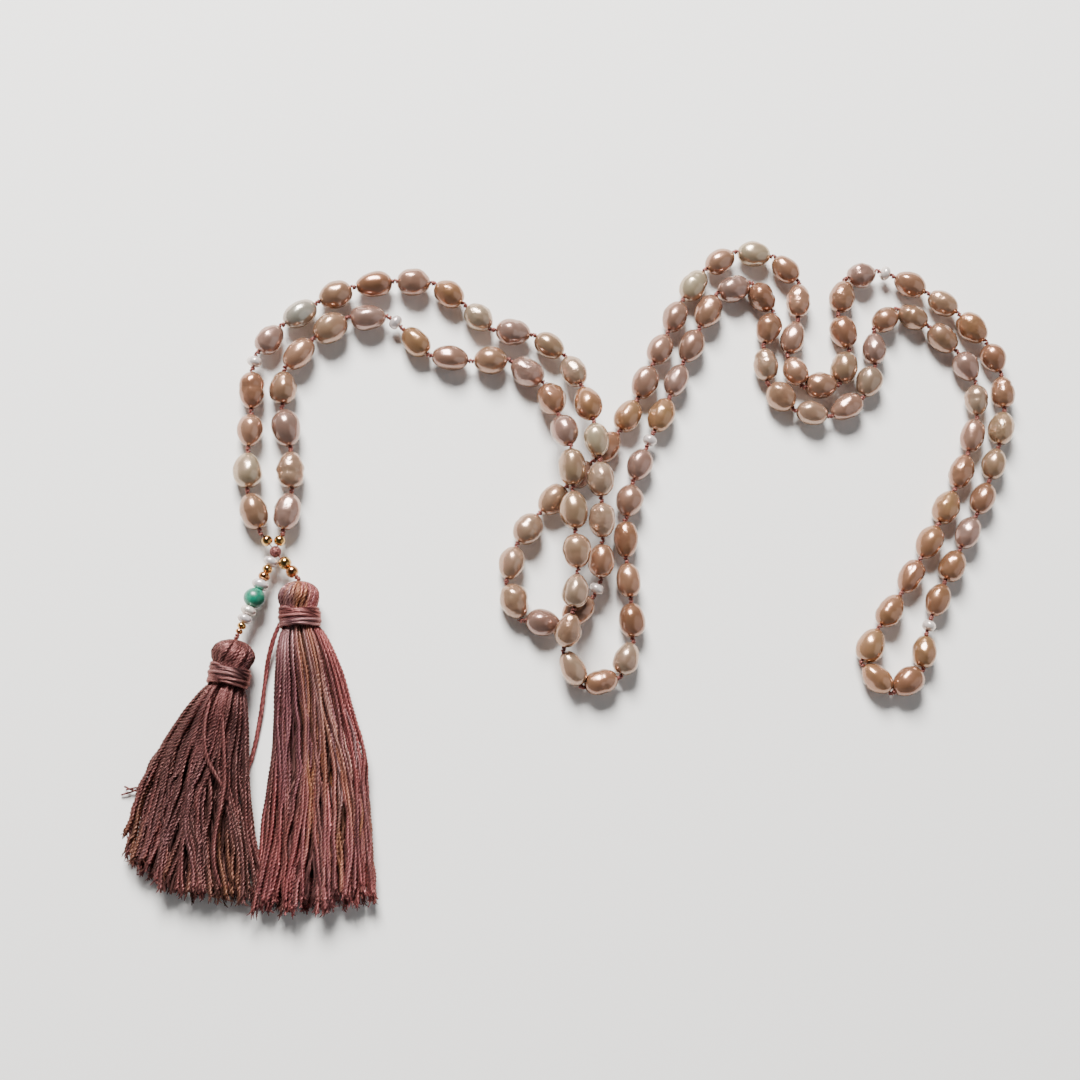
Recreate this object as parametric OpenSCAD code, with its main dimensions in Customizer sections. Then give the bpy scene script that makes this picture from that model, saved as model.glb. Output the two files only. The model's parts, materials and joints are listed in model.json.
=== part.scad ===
// Mala: 108 knotted pearls in one closed loop, laid out double on a flat surface, with two
// floss tassels on short beaded drops. Z = 0 is the surface that it lies on.

/* [Pearls] */
// Pearls on the outer run of the loop
pearls_outer = 56; // [50:1:57]
// Pearls on the inner run of the loop
pearls_inner = 52; // [46:1:53]
// Mean length of a pearl along its hole
pearl_len = 8; // [7:0.1:8.4]
// Mean width of a pearl
pearl_d = 6; // [5:0.1:6.2]
// How far the pearls differ in size, as a share
spread = 0.07; // [0:0.01:0.08]
// Length of a seed pearl marker
seed_len = 2.6; // [2:0.1:3]
// Width of a seed pearl marker
seed_d = 3.4; // [3:0.1:4]

/* [Silk] */
// Silk thread thickness
silk_d = 0.7; // [0.5:0.05:0.8]
// Hole through a pearl
bore_d = 0.9; // [0.85:0.05:1.1]
// Knot thickness
knot_d = 1.4; // [1.2:0.1:1.6]
// Space that a knot takes between two pearls
knot_gap = 1.4; // [1.2:0.1:1.8]

/* [Drops] */
// Turquoise bead width
turquoise_d = 4.7; // [4:0.1:5]
// Silk of the drops that the small beads turn on
drop_silk_d = 0.8; // [0.6:0.1:0.8]

/* [Tassels] */
// Tassel head width
head_d = 9.2; // [8:0.1:10]
// Length of the right tassel from the crown to the tips
long_tassel = 74; // [60:1:80]
// Length of the left tassel from the crown to the tips
short_tassel = 58; // [50:1:60]
// Width of the right tassel's tips
long_fan = 24.6; // [18:0.1:28]
// Width of the left tassel's tips
short_fan = 28.5; // [20:0.1:30]

/* [Hidden] */
lay = 3.3;
over = 9.7;
shift = [-8.4, -2.1, -0.09];

// The run of the loop that lies outermost at the left, from the guru to the far fold
route_a = [
    [-69.3, 6.6, lay], [-71.6, 13, lay], [-73, 20.5, lay], [-72, 30.5, lay], [-72.5, 39.5, lay],
    [-71.5, 47.5, lay], [-67, 54, lay], [-60, 59.5, lay], [-53, 64, lay], [-45, 66.5, lay],
    [-36, 67.5, lay], [-28, 66.5, lay], [-23, 61.5, lay], [-18, 57, lay], [-10, 56.5, lay],
    [-2.5, 54, lay], [2, 47, 4.5], [4.5, 38, 9], [6.5, 28, over], [7, 18, over], [7.5, 8, 8],
    [8, -1, 5.5], [4.5, -8.5, lay], [-2, -13, lay], [-9, -12.5, lay], [-13.5, -6.5, lay],
    [-13, 1.5, lay], [-9.5, 9, lay], [-4.5, 15, lay], [1, 20.5, lay], [7, 26.5, lay],
    [12.5, 33, lay], [17, 41, lay], [20.5, 49, lay], [24.5, 57.5, lay], [28.5, 66.5, lay],
    [34.5, 75, lay], [42, 80, lay], [50, 80, lay], [57, 75.5, lay], [58.2, 66.5, lay],
    [55, 57.5, lay], [55, 50.5, lay], [60, 46, lay], [65.5, 46.5, lay], [69.5, 51.5, lay],
    [70, 59, lay], [67.5, 67.5, lay], [70.5, 75.5, lay], [78, 77.5, lay], [86, 74.8, lay], [94, 71, lay],
    [101.5, 65.5, lay], [107.5, 58, lay], [109.8, 49, lay], [109, 40, lay], [106.5, 31, lay],
    [103, 21.5, lay], [98.5, 12.5, lay], [93.5, 3.5, lay], [89.5, -5, lay], [86.5, -13, lay],
    [85.3, -21, lay], [77.5, -26.5, lay]
];
// The other run, from the guru to the same fold
route_b = [
    [-64.3, 6.6, lay], [-63, 13, lay], [-62.5, 21, lay], [-64, 30.5, lay], [-65.8, 38.5, lay],
    [-64.5, 46, lay], [-59.5, 51.5, lay], [-52.5, 57, lay], [-44.5, 59.5, lay], [-38.5, 56, lay],
    [-33.5, 50.5, lay], [-26, 48.5, lay], [-18, 49.5, lay], [-10.5, 49, lay], [-5, 44.5, lay],
    [-2.5, 37, 6], [0, 28, over], [0.5, 18, over], [1, 8, over], [1.5, -2, over],
    [0.3, -11, over], [-1, -19.5, 5.5], [3.5, -26.5, lay], [10.5, -26, lay], [15, -19, lay],
    [15.5, -10, lay], [14.5, -1, lay], [14, 7.5, lay], [14.5, 16, lay], [17, 24.5, lay],
    [20.5, 32.5, lay], [24.5, 41, lay], [28, 50, lay], [32.3, 59, lay], [35.2, 66.2, lay],
    [39.8, 71, lay], [47, 72, lay], [51.3, 65.5, lay], [48.4, 55.5, lay], [49.5, 47, lay],
    [55, 41.5, lay], [62.3, 39.5, lay], [70, 42, lay], [75.5, 48.5, lay], [77, 57.5, lay],
    [77, 65, lay], [82.5, 68, lay], [90.5, 64.3, lay], [97.5, 58.5, lay], [102, 52, lay],
    [102.8, 44, lay], [100.5, 35, lay], [97, 26, lay], [92.5, 17, lay], [87.5, 8, lay],
    [82, -1, lay], [77, -8.5, lay], [73, -14, lay], [70.5, -20.5, lay], [77.5, -26.5, lay]
];
// The seed pearls come after this many pearls of each half
seeds_a = [4, 19, 43, 54];
seeds_b = [7, 26];
function curve(p, i, t) =
    let (a = p[max(i - 1, 0)], b = p[i], c = p[i + 1], d = p[min(i + 2, len(p) - 1)])
    0.5 * (2 * b + (c - a) * t + (2 * a - 5 * b + 4 * c - d) * t * t
        + (3 * b - a - 3 * c + d) * t * t * t);
function sampled(p) = concat(
    [for (i = [0:len(p) - 2]) for (k = [0:7]) curve(p, i, k / 8)], [p[len(p) - 1]]);
function run_length(p) = [for (i = 0, s = 0; i < len(p);
    i = i + 1, s = s + (i < len(p) ? norm(p[i] - p[i - 1]) : 0)) s];
function at(s, p, run) = [for (k = [0:2]) lookup(s, [for (i = [0:len(p) - 1]) [run[i], p[i][k]]])];

// Which places on a half hold a seed pearl
function is_seed(k, seeds) = len([for (j = [0:len(seeds) - 1]) if (seeds[j] + j == k) 1]) > 0;
function sizes(pearls, seeds, chance) = [for (k = [0:pearls + len(seeds) - 1])
    is_seed(k, seeds) ? seed_len : pearl_len * (1 + spread * chance[k])];
function sums(v) = [for (i = 0, s = 0; i <= len(v);
    i = i + 1, s = s + (i <= len(v) ? v[i - 1] + knot_gap : 0)) s];
function knots(route, pearls, seeds, chance) =
    let (p = sampled(route), run = run_length(p), place = sums(sizes(pearls, seeds, chance)),
        fit = run[len(run) - 1] / place[len(place) - 1])
    [for (s = place) at(fit * s, p, run) + shift];

chance_a = rands(-1, 1, 64, 21);
chance_b = rands(-1, 1, 64, 33);
knots_a = knots(route_a, pearls_outer, seeds_a, chance_a);
knots_b = knots(route_b, pearls_inner, seeds_b, chance_b);
half = [[knots_a, seeds_a, chance_a], [knots_b, seeds_b, chance_b]];

// The knot of a run that lies nearest to a place on the surface
function near(knot, x, y) =
    let (away = [for (p = knot) norm([p[0], p[1]] - [x + shift[0], y + shift[1]])])
    search([min(away)], away)[0];

// Knots at which the doubled strand folds, in pairs: outer run, inner run
rise = [near(knots_a, -72, 34), near(knots_b, -65, 35)];
corner = [near(knots_a, -50, 65), near(knots_b, -42, 58.5)];
span = [near(knots_a, -17.5, 57), near(knots_b, -12.5, 49.5)];
arch = [near(knots_a, 50, 80), near(knots_b, 36.5, 69)];
crest = [near(knots_a, 83, 76), near(knots_b, 76.7, 64)];
bend = [near(knots_a, 109.5, 43), near(knots_b, 102, 39.5)];
tail = [near(knots_a, 98.7, 13), near(knots_b, 90, 12.5)];
tip = [near(knots_a, 90, -3.5), near(knots_b, 80, -4.5)];
left_loop = [near(knots_a, -9.5, -12), near(knots_a, -6.5, 12.5)];
low_loop = [near(knots_b, -1, -19), near(knots_b, 15.5, -15.5)];
last = [len(knots_a) - 1, len(knots_b) - 1];

// Each body's stretches: which run, first knot, last knot, and whether it holds those two knots
valley_runs = [[0, span[0], left_loop[0], 1, 1], [0, left_loop[1], arch[0], 1, 1],
    [1, span[1], low_loop[0], 1, 1], [1, low_loop[1], arch[1], 1, 1]];
left_loop_runs = [[0, left_loop[0], left_loop[1], 0, 0]];
low_loop_runs = [[1, low_loop[0], low_loop[1], 0, 0]];
span_runs = [[0, corner[0], span[0], 1, 0], [1, corner[1], span[1], 1, 0]];
corner_runs = [[0, rise[0], corner[0], 1, 0], [1, rise[1], corner[1], 1, 0]];
rise_runs = [[0, 0, rise[0], 1, 0], [1, 0, rise[1], 1, 0]];
arch_runs = [[0, arch[0], crest[0], 0, 1], [1, arch[1], crest[1], 0, 1]];
crest_runs = [[0, crest[0], bend[0], 0, 1], [1, crest[1], bend[1], 0, 1]];
bend_runs = [[0, bend[0], tail[0], 0, 1], [1, bend[1], tail[1], 0, 1]];
tail_runs = [[0, tail[0], tip[0], 0, 1], [1, tail[1], tip[1], 0, 1]];
tip_runs = [[0, tip[0], last[0], 0, 0], [1, tip[1], last[1], 0, 0]];
fold_knots = concat([for (k = [tip[0]:last[0]]) knots_a[k]],
    [for (k = [last[1] - 1:-1:tip[1]]) knots_b[k]]);

// Guru knot, and the places where the two tassels hang from their drops
guru = [-65.8, 2.2, lay] + shift;
guru_d = 2.8;
left_end = [-73.6, -17.4, 4.8] + shift;
right_end = [-60.7, -4, 4.8] + shift;
left_tips = [-82, -73.2, 4.8] + shift;
right_tips = [-55.2, -78, 4.8] + shift;
gold_d = 2.5;
free = 0.05;
rim = 0.12;
thread_sides = 8;
drop_knot_d = 1.3;

// Space between the small beads of a drop, and before the first bead of each
bead_gap = 0.05;
left_start = 0.1;
right_start = 0.75;
// Small beads of a drop, from the guru down: length along the thread, width
left_beads = [[2, 3.4], [1.7, 2.3], [1.8, 2.6], [2.2, 3.9], [turquoise_d * 0.9, turquoise_d],
    [2, 3.5], [1.9, 3.3], [1.4, 2], [1.2, 1.6]];
right_beads = [[2.6, 2.9], [2.5, 2.8]];
function bead_at(beads, k) = guru_d / 2 + beads[k][0] / 2
    + (beads == left_beads ? left_start : right_start)
    + (k == 0 ? 0 : [for (i = 0, s = beads[0][0] + bead_gap; i < k;
        i = i + 1, s = s + beads[i][0] + bead_gap) s][k - 1]);

// Tassel proportions
crown = 6.2;
wrap_h = 4;
neck = 0.8;
skirt_sides = 28;
skirt_rings = 8;

silk = "#b5766b";
rose = "#b98a86";
floss = "#a8716c";
gold = "#c99a4b";
white = "#ece6df";
turquoise = "#2fae94";
mauve = "#8a5a66";
pink_pearl = "#d9a79b";
peach_pearl = "#e0b59f";

// Turns +Z to run from a to b, with the origin at a
module along(a, b) {
    d = b - a;
    translate(a) rotate([0, acos(d[2] / norm(d)), atan2(d[1], d[0])]) children();
}

// A drilled oval pearl about its own middle, fuller toward one end by egg
module oval(length, width, egg) {
    end = asin((bore_d / 2 + rim) / (width / 2));
    reach = length / 2 / cos(end);
    rotate_extrude($fn = 32) polygon(concat([[bore_d / 2, -reach * cos(end)]],
        [for (k = [0:12]) let (a = end + k * (180 - 2 * end) / 12)
            [width / 2 * sin(a) * (1 + egg * cos(a)), -reach * cos(a)]],
        [[bore_d / 2, reach * cos(end)]]));
}

// The pearls of some stretches, or their seed pearls
module strung(runs, seeds = false) {
    for (r = runs) for (k = [r[1]:r[2] - 1]) if (is_seed(k, half[r[0]][1]) == seeds) {
        knot = half[r[0]][0];
        chance = half[r[0]][2];
        chord = norm(knot[k + 1] - knot[k]);
        width = seeds ? seed_d : pearl_d * (1 + spread * chance[63 - k]);
        along(knot[k], knot[k + 1]) translate([0, 0, chord / 2])
            oval(chord - knot_gap, width, seeds ? 0 : 0.1 * chance[k]);
    }
}

// A ring of points about c, square to the direction n
function ring(c, n, r) =
    let (u = cross(n, [0, 0, 1]) / norm(cross(n, [0, 0, 1])), v = cross(n, u) / norm(n))
    [for (k = [0:thread_sides - 1]) c + r * (cos(360 * k / thread_sides) * u
        + sin(360 * k / thread_sides) * v)];
function unit(v) = v / norm(v);

// The rings of one thread through its knots: a held end shows its knot, a free end stops short
function thread_rings(p, held) =
    let (n = len(p) - 1, thin = silk_d / 2, mid = 0.72 * knot_d / 2, fat = knot_d / 2,
        clear = knot_d / 2 + free)
    [for (k = [0:n])
        let (a = unit(p[max(k, 1)] - p[max(k, 1) - 1]), b = unit(p[min(k, n - 1) + 1] - p[min(k, n - 1)]),
            stub = (k == 0 && !held[0]) || (k == n && !held[1]))
        each stub ? [ring(p[k] + (k == 0 ? clear * b : -clear * a), k == 0 ? b : a, thin)]
            : [ring(p[k] - 0.62 * a, a, thin), ring(p[k] - 0.42 * a, a, mid),
                ring(p[k], unit(a + b), fat), ring(p[k] + 0.42 * b, b, mid),
                ring(p[k] + 0.62 * b, b, thin)]];
module thread(p, held) {
    rings = thread_rings(p, held);
    n = thread_sides;
    m = len(rings) - 1;
    polyhedron(points = [for (r = rings) each r], faces = concat(
        [[for (k = [n - 1:-1:0]) k]],
        [for (i = [0:m - 1]) for (k = [0:n - 1])
            [i * n + k, i * n + (k + 1) % n, (i + 1) * n + (k + 1) % n, (i + 1) * n + k]],
        [[for (k = [0:n - 1]) m * n + k]]));
}

// The knotted thread of some stretches
module knotted(runs) {
    for (r = runs) thread([for (k = [r[1]:r[2]]) half[r[0]][0][k]], [r[3] == 1, r[4] == 1]);
}

// A small drilled bead on a drop's thread
module bead(from, to, beads, k) {
    along(from, to) translate([0, 0, bead_at(beads, k)]) oval(beads[k][0], beads[k][1], 0);
}

// A drop's thread, from clear of the guru knot to its own end knot
module drop_thread(to) {
    from = guru_d / 2 + free;
    along(guru, to) translate([0, 0, from])
        cylinder(d = drop_silk_d, h = norm(to - guru) - from, $fn = 24);
    translate(to) sphere(d = drop_knot_d, $fn = 24);
}

// Places something in a tassel's own frame: +Z runs down its axis, +X stays level
module hung(from, to) {
    d = to - from;
    translate(from) rotate([0, 0, atan2(d[1], d[0]) + 90]) rotate([90, 0, 0]) children();
}
module tassel_thread() {
    translate([0, 0, drop_knot_d / 2 + free]) cylinder(d = drop_silk_d, h = 3, $fn = 24);
}
module tassel_head() {
    r = head_d / 2;
    n = r - neck;
    end = crown + wrap_h;
    rotate_extrude($fn = 48) polygon([[0.5, 1], [1.4, 1], [2.6, 1.3], [3.6, 1.9], [r - 0.2, 2.8],
        [r, 3.9], [r - 0.15, 5], [n + 0.2, crown - 0.2], [n, crown], [n, end], [0.5, end]]);
}
module tassel_wrap() {
    r = head_d / 2 - neck;
    translate([0, 0, crown]) rotate_extrude($fn = 48)
        polygon([[r, 0.05], [r + 0.5, 0.05], [r + 0.75, 0.5], [r + 0.75, wrap_h - 0.5],
            [r + 0.5, wrap_h - 0.05], [r, wrap_h - 0.05]]);
}

// A skirt of floss lying on the surface: round at the neck, wide and flat at the tips
module skirt(length, fan) {
    top = crown + wrap_h + 0.1;
    r = head_d / 2 - 0.4;
    long = length - top;
    rings = [for (i = [0:skirt_rings]) let (t = i / skirt_rings, w = r + (fan / 2 - r) * pow(t, 0.8),
        h = r - 0.9 * t, low = left_end[2] - h - 0.3)
        [for (k = [0:skirt_sides - 1]) let (a = 360 * k / skirt_sides)
            [w * cos(a), h * sin(a) - low, top + long * t]]];
    n = skirt_sides;
    polyhedron(points = [for (ring = rings) each ring], faces = concat(
        [[for (k = [0:n - 1]) k]],
        [for (i = [0:skirt_rings - 1]) for (k = [0:n - 1])
            [i * n + k, (i + 1) * n + k, (i + 1) * n + (k + 1) % n, i * n + (k + 1) % n]],
        [[for (k = [n - 1:-1:0]) skirt_rings * n + k]]));
}

module valley_pearls() { color(pink_pearl) strung(valley_runs); }
module valley_silk() { color(silk) knotted(valley_runs); }
module valley_seeds() { color(white) strung(valley_runs, true); }
module left_loop_pearls() { color(peach_pearl) strung(left_loop_runs); }
module left_loop_silk() { color(silk) knotted(left_loop_runs); }
module low_loop_pearls() { color(peach_pearl) strung(low_loop_runs); }
module low_loop_silk() { color(silk) knotted(low_loop_runs); }
module span_pearls() { color(peach_pearl) strung(span_runs); }
module span_silk() { color(silk) knotted(span_runs); }
module span_seeds() { color(white) strung(span_runs, true); }
module corner_pearls() { color(pink_pearl) strung(corner_runs); }
module corner_silk() { color(silk) knotted(corner_runs); }
module corner_seeds() { color(white) strung(corner_runs, true); }
module rise_pearls() { color(peach_pearl) strung(rise_runs); }
module rise_silk() { color(silk) knotted(rise_runs); }
module arch_pearls() { color(pink_pearl) strung(arch_runs); }
module arch_silk() { color(silk) knotted(arch_runs); }
module arch_seeds() { color(white) strung(arch_runs, true); }
module crest_pearls() { color(peach_pearl) strung(crest_runs); }
module crest_silk() { color(silk) knotted(crest_runs); }
module bend_pearls() { color(pink_pearl) strung(bend_runs); }
module bend_silk() { color(silk) knotted(bend_runs); }
module tail_pearls() { color(peach_pearl) strung(tail_runs); }
module tail_silk() { color(silk) knotted(tail_runs); }
module tip_pearls() { color(pink_pearl) strung(tip_runs); }
module tip_silk() { color(silk) thread(fold_knots, [false, false]); }
module tip_seeds() { color(white) strung(tip_runs, true); }

// The two thread ends run from the last knots into the guru knot
module guru_silk() {
    color(silk) for (h = half) {
        chord = norm(guru - h[0][0]);
        clear = knot_d / 2 + free;
        along(h[0][0], guru) translate([0, 0, clear])
            cylinder(d = silk_d, h = chord - clear - guru_d / 2, $fn = 24);
    }
}
module guru_knot() { color(mauve) translate(guru) sphere(d = guru_d, $fn = 32); }
module guru_gold(start, share) {
    along(start, guru) translate([0, 0, share]) oval(gold_d * 0.9, gold_d, 0);
}
module guru_gold_outer() { color(gold) guru_gold(knots_a[0], 2.5); }
module guru_gold_inner() { color(gold) guru_gold(knots_b[0], 2); }

module left_drop_silk() { color(silk) drop_thread(left_end); }
module left_oval_pearl() { color(white) bead(guru, left_end, left_beads, 0); }
module left_gold_1() { color(gold) bead(guru, left_end, left_beads, 1); }
module left_gold_2() { color(gold) bead(guru, left_end, left_beads, 2); }
module left_button_pearl() { color(white) bead(guru, left_end, left_beads, 3); }
module turquoise_bead() { color(turquoise) bead(guru, left_end, left_beads, 4); }
module left_white_1() { color(white) bead(guru, left_end, left_beads, 5); }
module left_white_2() { color(white) bead(guru, left_end, left_beads, 6); }
module left_gold_3() { color(gold) bead(guru, left_end, left_beads, 7); }
module left_gold_4() { color(gold) bead(guru, left_end, left_beads, 8); }
module right_drop_silk() { color(silk) drop_thread(right_end); }
module right_gold_1() { color(gold) bead(guru, right_end, right_beads, 0); }
module right_gold_2() { color(gold) bead(guru, right_end, right_beads, 1); }

module left_tassel_thread() { color(silk) hung(left_end, left_tips) tassel_thread(); }
module left_tassel_head() { color(rose) hung(left_end, left_tips) tassel_head(); }
module left_tassel_wrap() { color(rose) hung(left_end, left_tips) tassel_wrap(); }
module left_tassel_skirt() { color(floss) hung(left_end, left_tips) skirt(short_tassel, short_fan); }
module right_tassel_thread() { color(silk) hung(right_end, right_tips) tassel_thread(); }
module right_tassel_head() { color(rose) hung(right_end, right_tips) tassel_head(); }
module right_tassel_wrap() { color(rose) hung(right_end, right_tips) tassel_wrap(); }
module right_tassel_skirt() {
    color(floss) hung(right_end, right_tips) skirt(long_tassel, long_fan);
}

valley_pearls();
valley_silk();
valley_seeds();
left_loop_pearls();
left_loop_silk();
low_loop_pearls();
low_loop_silk();
span_pearls();
span_silk();
span_seeds();
corner_pearls();
corner_silk();
corner_seeds();
rise_pearls();
rise_silk();
arch_pearls();
arch_silk();
arch_seeds();
crest_pearls();
crest_silk();
bend_pearls();
bend_silk();
tail_pearls();
tail_silk();
tip_pearls();
tip_silk();
tip_seeds();
guru_silk();
guru_knot();
guru_gold_outer();
guru_gold_inner();
left_drop_silk();
left_oval_pearl();
left_gold_1();
left_gold_2();
left_button_pearl();
turquoise_bead();
left_white_1();
left_white_2();
left_gold_3();
left_gold_4();
right_drop_silk();
right_gold_1();
right_gold_2();
left_tassel_thread();
left_tassel_head();
left_tassel_wrap();
left_tassel_skirt();
right_tassel_thread();
right_tassel_head();
right_tassel_wrap();
right_tassel_skirt();
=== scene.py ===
# Mala: knotted pearls in one closed loop with two floss tassels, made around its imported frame.
import json
import math

import bpy
import numpy as np
from mathutils import Matrix, Vector


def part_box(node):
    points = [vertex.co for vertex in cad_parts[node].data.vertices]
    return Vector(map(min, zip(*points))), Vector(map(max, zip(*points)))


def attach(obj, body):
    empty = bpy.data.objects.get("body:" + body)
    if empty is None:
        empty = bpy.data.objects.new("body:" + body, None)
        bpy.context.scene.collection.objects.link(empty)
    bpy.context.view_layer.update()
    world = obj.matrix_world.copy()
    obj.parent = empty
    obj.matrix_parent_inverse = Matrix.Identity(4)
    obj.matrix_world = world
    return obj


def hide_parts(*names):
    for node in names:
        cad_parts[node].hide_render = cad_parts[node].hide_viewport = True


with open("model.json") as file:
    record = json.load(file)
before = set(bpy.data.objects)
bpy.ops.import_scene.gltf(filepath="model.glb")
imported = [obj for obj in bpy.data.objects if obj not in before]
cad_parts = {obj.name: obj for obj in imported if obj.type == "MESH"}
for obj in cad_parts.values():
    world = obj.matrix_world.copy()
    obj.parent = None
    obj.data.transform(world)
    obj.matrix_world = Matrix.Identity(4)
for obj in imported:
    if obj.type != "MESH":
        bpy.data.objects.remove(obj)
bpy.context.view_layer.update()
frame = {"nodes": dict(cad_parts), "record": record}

MM = 0.001
UP = np.array([0.0, 0.0, 1.0])
KNOT_GAP = 1.4 * MM
# How much longer than its drilled solid a bead is made, so that its dimpled ends still reach
PEARL_REACH, BEAD_REACH = 0.25 * MM, 0.3 * MM


# ---------------------------------------------------------------- camera

def place_camera():
    """Looks down on the laid-out strand, a little from the tassels' side."""
    look = Vector((-0.0144, 0.0049, 0.0031))
    back = Vector((-0.17, -0.20, 0.965)).normalized()
    distance = 0.385
    data = bpy.data.cameras.new("camera")
    data.lens = 56.0
    data.clip_start = 0.01
    data.clip_end = 10.0
    camera = bpy.data.objects.new("camera", data)
    camera.location = look + back * distance
    right = (-back).cross(Vector((0.0, 1.0, 0.0))).normalized()
    top = right.cross(-back)
    camera.rotation_euler = Matrix((right, top, back)).transposed().to_euler()
    bpy.context.scene.collection.objects.link(camera)
    bpy.context.scene.camera = camera


place_camera()


# ---------------------------------------------------------------- node trees

class Tree:
    """A node tree that is written one node at a time."""

    def __init__(self, tree):
        self.tree = tree

    def node(self, kind, links=None, **settings):
        made = self.tree.nodes.new(kind)
        for name, value in settings.items():
            setattr(made, name, value)
        for socket, value in (links or {}).items():
            self.join(value, made.inputs[socket])
        return made

    def join(self, value, socket):
        if isinstance(value, bpy.types.NodeSocket):
            self.tree.links.new(value, socket)
        elif isinstance(value, bpy.types.Node):
            self.tree.links.new(value.outputs[0], socket)
        else:
            socket.default_value = value

    def math(self, operation, a, b=0.0, c=None):
        links = {0: a, 1: b}
        if c is not None:
            links[2] = c
        return self.node("ShaderNodeMath", links, operation=operation).outputs[0]

    def vector(self, operation, a, b=(0.0, 0.0, 0.0)):
        made = self.node("ShaderNodeVectorMath", {0: a}, operation=operation)
        self.join(b, made.inputs["Scale" if operation == "SCALE" else 1])
        return made.outputs["Value" if operation in ("LENGTH", "DOT_PRODUCT") else "Vector"]

    def parts(self, vector):
        return self.node("ShaderNodeSeparateXYZ", {0: vector}).outputs

    def joined(self, x, y, z):
        return self.node("ShaderNodeCombineXYZ", {0: x, 1: y, 2: z}).outputs[0]

    def noise(self, vector, scale, detail=2.0, roughness=0.5):
        made = self.node("ShaderNodeTexNoise", {"Vector": vector, "Scale": scale, "Detail": detail,
                                                "Roughness": roughness})
        return made.outputs[0]

    def named(self, name, kind="FLOAT"):
        """A named attribute, in a geometry tree."""
        made = self.node("GeometryNodeInputNamedAttribute", {"Name": name}, data_type=kind)
        return made.outputs["Attribute"]

    def keep(self, geometry, name, value, kind="FLOAT_VECTOR"):
        """Writes a named attribute onto the points of a geometry."""
        made = self.node("GeometryNodeStoreNamedAttribute", {"Geometry": geometry, "Name": name},
                         data_type=kind, domain="POINT")
        self.join(value, made.inputs["Value"])
        return made.outputs[0]

    def ramp(self, factor, stops):
        """Colours that ease into one another at the given places from 0 to 1."""
        made = self.node("ShaderNodeValToRGB", {0: factor})
        ramp = made.color_ramp
        ramp.interpolation = "EASE"
        while len(ramp.elements) < len(stops):
            ramp.elements.new(0.5)
        for element, (at, colour) in zip(ramp.elements, stops):
            element.position = at
            element.color = (*colour, 1.0)
        return made.outputs[0]

    def mix(self, factor, a, b, blend="MIX"):
        made = self.node("ShaderNodeMix", data_type="RGBA", blend_type=blend)
        self.join(factor, made.inputs[0])
        self.join(a, made.inputs[6])
        self.join(b, made.inputs[7])
        return made.outputs[2]


def geometry_tree(name, inputs):
    """An empty geometry tree with points or lines in, a mesh out, and named inputs."""
    tree = bpy.data.node_groups.new(name, "GeometryNodeTree")
    face = tree.interface
    face.new_socket(name="Geometry", in_out="INPUT", socket_type="NodeSocketGeometry")
    for label, kind in inputs:
        face.new_socket(name=label, in_out="INPUT", socket_type=f"NodeSocket{kind}")
    face.new_socket(name="Geometry", in_out="OUTPUT", socket_type="NodeSocketGeometry")
    made = Tree(tree)
    made.enter = made.node("NodeGroupInput").outputs
    made.leave = made.node("NodeGroupOutput").inputs
    return made


def guide(name, points, lines=(), **carried):
    """A bare mesh of points, joined into lines, that carries numbers on its points."""
    mesh = bpy.data.meshes.new(name)
    edges = [(i, i + 1) for line in lines for i in range(line[0], line[1])]
    mesh.from_pydata([tuple(p) for p in points], edges, [])
    for label, values in carried.items():
        values = np.asarray(values, dtype=np.float32)
        kind, field = {1: ("FLOAT", "value"), 3: ("FLOAT_VECTOR", "vector"),
                       4: ("FLOAT_COLOR", "color")}[1 if values.ndim == 1 else values.shape[1]]
        layer = mesh.attributes.new(label, kind, "POINT")
        layer.data.foreach_set(field, values.ravel())
    return mesh


def grown(name, source, tree, **values):
    """The plain mesh object that a geometry tree makes from a guide."""
    holder = bpy.data.objects.new(name + "_guide", source)
    bpy.context.scene.collection.objects.link(holder)
    modifier = holder.modifiers.new("grow", "NODES")
    modifier.node_group = tree
    for item in tree.interface.items_tree:
        if item.item_type == "SOCKET" and item.in_out == "INPUT" and item.name in values:
            modifier[item.identifier] = values[item.name]
    depsgraph = bpy.context.evaluated_depsgraph_get()
    mesh = bpy.data.meshes.new_from_object(holder.evaluated_get(depsgraph), depsgraph=depsgraph)
    holder.modifiers.clear()
    bpy.data.objects.remove(holder)
    mesh.name = name
    mesh.polygons.foreach_set("use_smooth", np.ones(len(mesh.polygons), dtype=bool))
    made = bpy.data.objects.new(name, mesh)
    bpy.context.scene.collection.objects.link(made)
    return made


# ---------------------------------------------------------------- reading the frame

def unit(v):
    return v / np.linalg.norm(v)


def solids(node):
    """The separate solids of a CAD node, each as its merged points, in a stable order."""
    mesh = frame["nodes"][node].data
    points = np.empty(len(mesh.vertices) * 3, dtype=np.float32)
    mesh.vertices.foreach_get("co", points)
    points = points.reshape(-1, 3).astype(float)
    mesh.calc_loop_triangles()
    triangles = np.empty(len(mesh.loop_triangles) * 3, dtype=np.int32)
    mesh.loop_triangles.foreach_get("vertices", triangles)
    _, first, index = np.unique(np.round(points / 2e-6).astype(np.int64), axis=0,
                                return_index=True, return_inverse=True)
    triangles = index.reshape(-1)[triangles].reshape(-1, 3)
    points = points[first]
    label = np.arange(len(points))
    while True:
        least = label[triangles].min(axis=1)
        before = label.copy()
        for corner in range(3):
            np.minimum.at(label, triangles[:, corner], least)
        label = label[label]
        if (label == before).all():
            break
    found = [points[label == k] for k in np.unique(label)]
    return sorted((p for p in found if len(p) > 20), key=lambda p: tuple(np.round(p.mean(0), 5)))


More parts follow.
